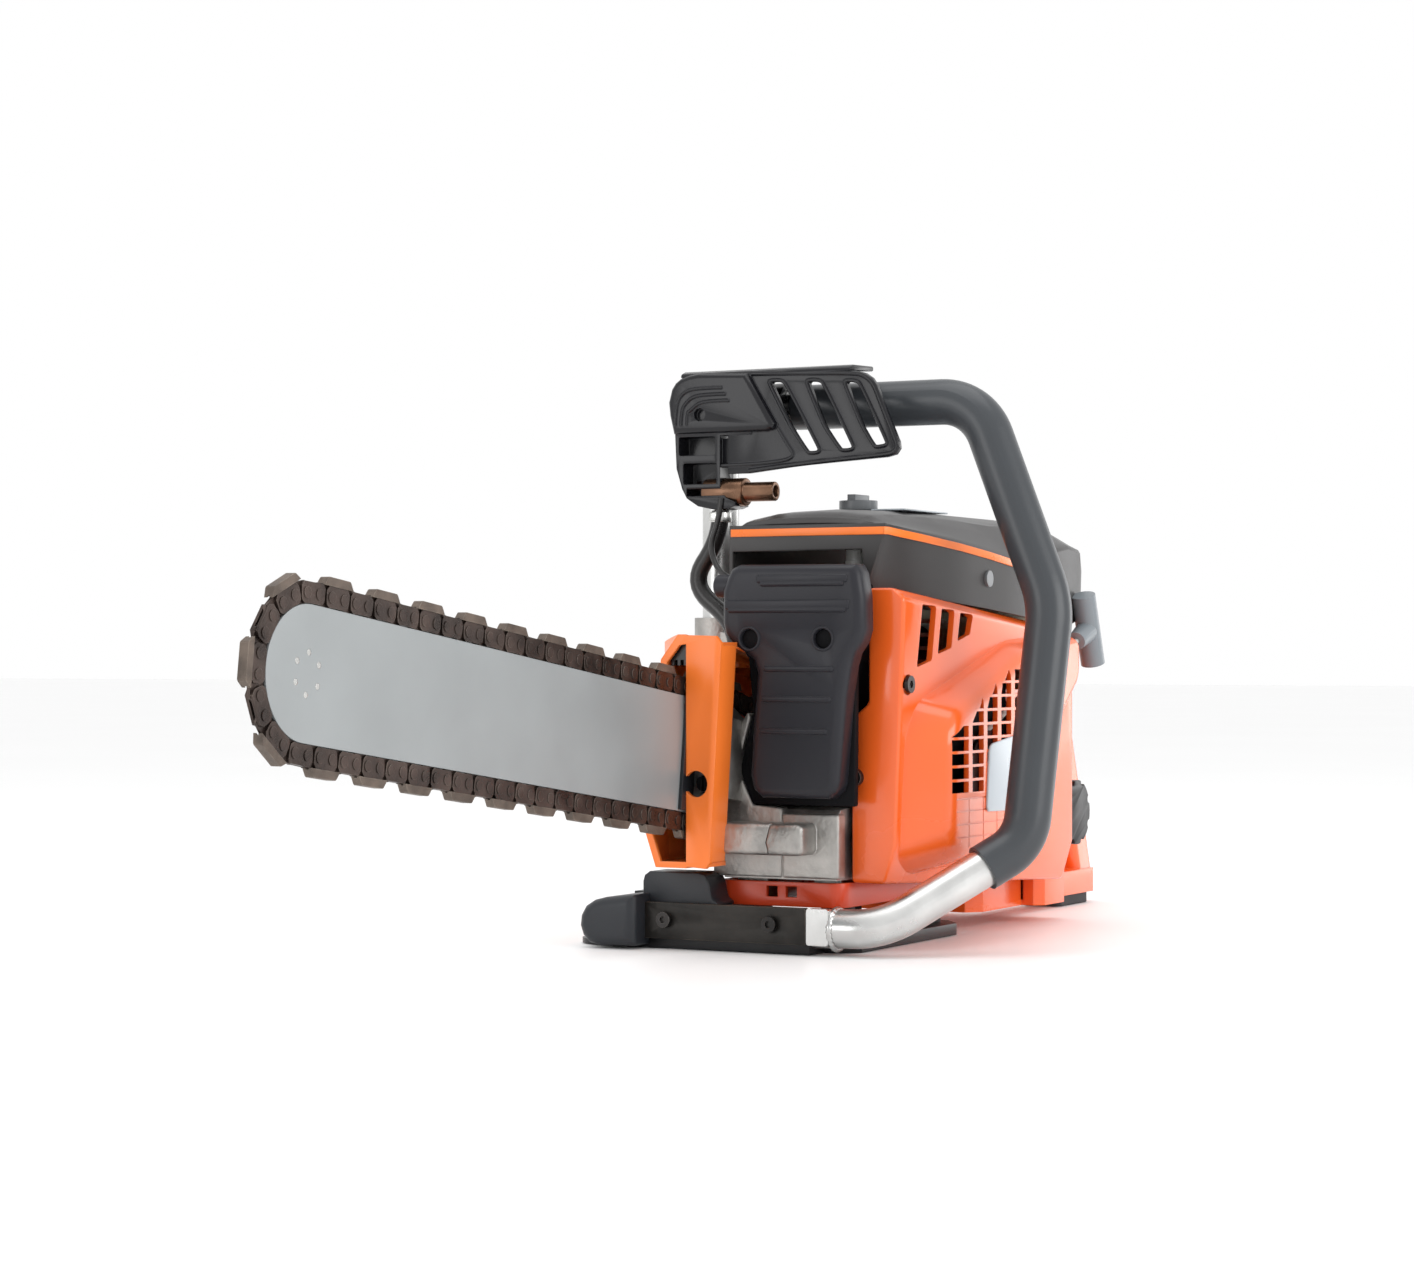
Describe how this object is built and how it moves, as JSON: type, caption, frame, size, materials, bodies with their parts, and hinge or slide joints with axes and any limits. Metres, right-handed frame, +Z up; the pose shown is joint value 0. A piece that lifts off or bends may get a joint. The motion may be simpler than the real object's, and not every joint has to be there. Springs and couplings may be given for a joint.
{
  "type": "hand-held petrol chain cutter",
  "caption": "Hand-held petrol cutter with a long rounded guide bar and diamond chain, orange engine housing, hooped front handle with hand guard, and a closed rear grip on a skid plate.",
  "frame": {"origin": "centre of the skid plate's underside, on the ground", "axes": "+X forward along the bar towards its nose, +Y the machine's left (starter side), +Z up"},
  "size_m": [0.9953, 0.3117, 0.383],
  "materials": {
    "orange_gloss": "gloss",
    "orange_guard": "satin",
    "orange_tray": "satin",
    "black_plastic": "satin",
    "charcoal_plastic": "satin",
    "heat_shield": "satin",
    "stripe": "gloss",
    "grey_plastic": "satin",
    "label": "satin",
    "rubber": "matte",
    "sleeve": "satin",
    "cast": "rough cast",
    "tube": "satin",
    "steel": "satin",
    "bar_steel": "ground",
    "chain_steel": "oiled",
    "segment": "sintered",
    "dark_steel": "worn",
    "brass": "satin",
    "spring": "chromated",
    "paper": "matte",
    "rope": "woven",
    "ceramic": "gloss"
  },
  "bodies": {
    "machine": {"crankcase_right": "cast", "crankcase_left": "cast", "cylinder": "cast", "piston": "cast", "spark_plug": "ceramic", "intake_boot": "rubber", "carburettor": "cast", "air_filter": "paper", "crank_bearings": "steel", "clutch_drum": "steel", "drive_sprocket": "steel", "muffler_body": "steel", "muffler_cover": "heat_shield", "top_cover": "charcoal_plastic", "cover_stripe": "stripe", "label_plates": "label", "starter_housing": "orange_gloss", "recoil_spring": "steel", "starter_rope": "rope", "guide_bar": "bar_steel", "nose_sprocket": "steel", "nose_rivets": "steel", "chain_tie_straps": "chain_steel", "chain_drive_links": "chain_steel", "chain_rivets": "chain_steel", "chain_segments": "segment", "bar_studs": "steel", "bar_nuts": "steel", "chain_tensioner": "dark_steel", "bar_guard": "orange_guard", "bar_guide_strip": "black_plastic", "spray_flap": "rubber", "skid_plate": "black_plastic", "guard_foot": "black_plastic", "wear_plate": "dark_steel", "cover_screws": "dark_steel", "base_tray": "orange_tray", "rubber_mounts": "rubber", "fuel_tank": "orange_gloss", "lever_pins": "steel", "front_handle": "tube", "handle_sleeve": "sleeve", "handle_bracket": "cast", "hand_guard": "black_plastic", "water_inlet": "brass", "water_hose": "rubber", "hose_clamp": "steel"},
    "crank": {"crankshaft": "steel", "flywheel": "cast", "clutch_hub": "steel", "clutch_shoes": "dark_steel", "clutch_spring": "spring"},
    "pulley": {"starter_pulley": "black_plastic"},
    "grip": {"starter_handle": "grey_plastic"},
    "trigger": {"throttle_trigger": "black_plastic"},
    "lockout": {"throttle_lockout": "black_plastic"},
    "stop_button": {"stop_switch": "black_plastic"},
    "decompression_button": {"decompression_valve": "black_plastic"},
    "filler_cap": {"fuel_cap": "black_plastic"},
    "cover_fastener": {"cover_knob": "grey_plastic"}
  },
  "joints": [
    {"name": "crank_spin", "type": "hinge", "parent": "machine", "child": "crank", "pos_m": [-0.031, 0, 0.108], "axis": [0, 1, 0], "continuous": true},
    {"name": "starter_pull", "type": "slide", "parent": "machine", "child": "grip", "axis": [-0.9356, 0, 0.3531], "range_m": [0, 0.5], "stiffness_N_per_m": 20, "springref_m": -0.4, "deforming": ["starter_rope"]},
    {"name": "pulley_spin", "type": "hinge", "parent": "machine", "child": "pulley", "pos_m": [-0.031, 0.131, 0.108], "axis": [0, 1, 0], "range_deg": [-1065, 0]},
    {"name": "throttle_squeeze", "type": "hinge", "parent": "machine", "child": "trigger", "pos_m": [-0.33752, 0.045, 0.16], "axis": [0, 1, 0], "range_deg": [0, 12], "stiffness_Nm_per_rad": 0.5, "springref_deg": -11.46},
    {"name": "lockout_squeeze", "type": "hinge", "parent": "machine", "child": "lockout", "pos_m": [-0.35804, 0.045, 0.15], "axis": [0, -1, 0], "range_deg": [0, 9], "stiffness_Nm_per_rad": 0.4, "springref_deg": -11.46},
    {"name": "stop_press", "type": "slide", "parent": "machine", "child": "stop_button", "axis": [0, 0, -1], "range_m": [0, 0.002], "stiffness_N_per_m": 800, "springref_m": -0.001},
    {"name": "decompression_press", "type": "slide", "parent": "machine", "child": "decompression_button", "axis": [0, -1, 0], "range_m": [0, 0.003]},
    {"name": "filler_cap_turn", "type": "hinge", "parent": "machine", "child": "filler_cap", "pos_m": [-0.224, 0.11, 0.078], "axis": [0, 1, 0], "range_deg": [0, 120]},
    {"name": "cover_knob_turn", "type": "hinge", "parent": "machine", "child": "cover_fastener", "pos_m": [-0.04, 0.037, 0.29], "axis": [0, 0, 1], "range_deg": [0, 90]}
  ],
  "couplings": [
    {"joint": "pulley_spin", "follows": "starter_pull", "rad_per_m": -37.037}
  ]
}
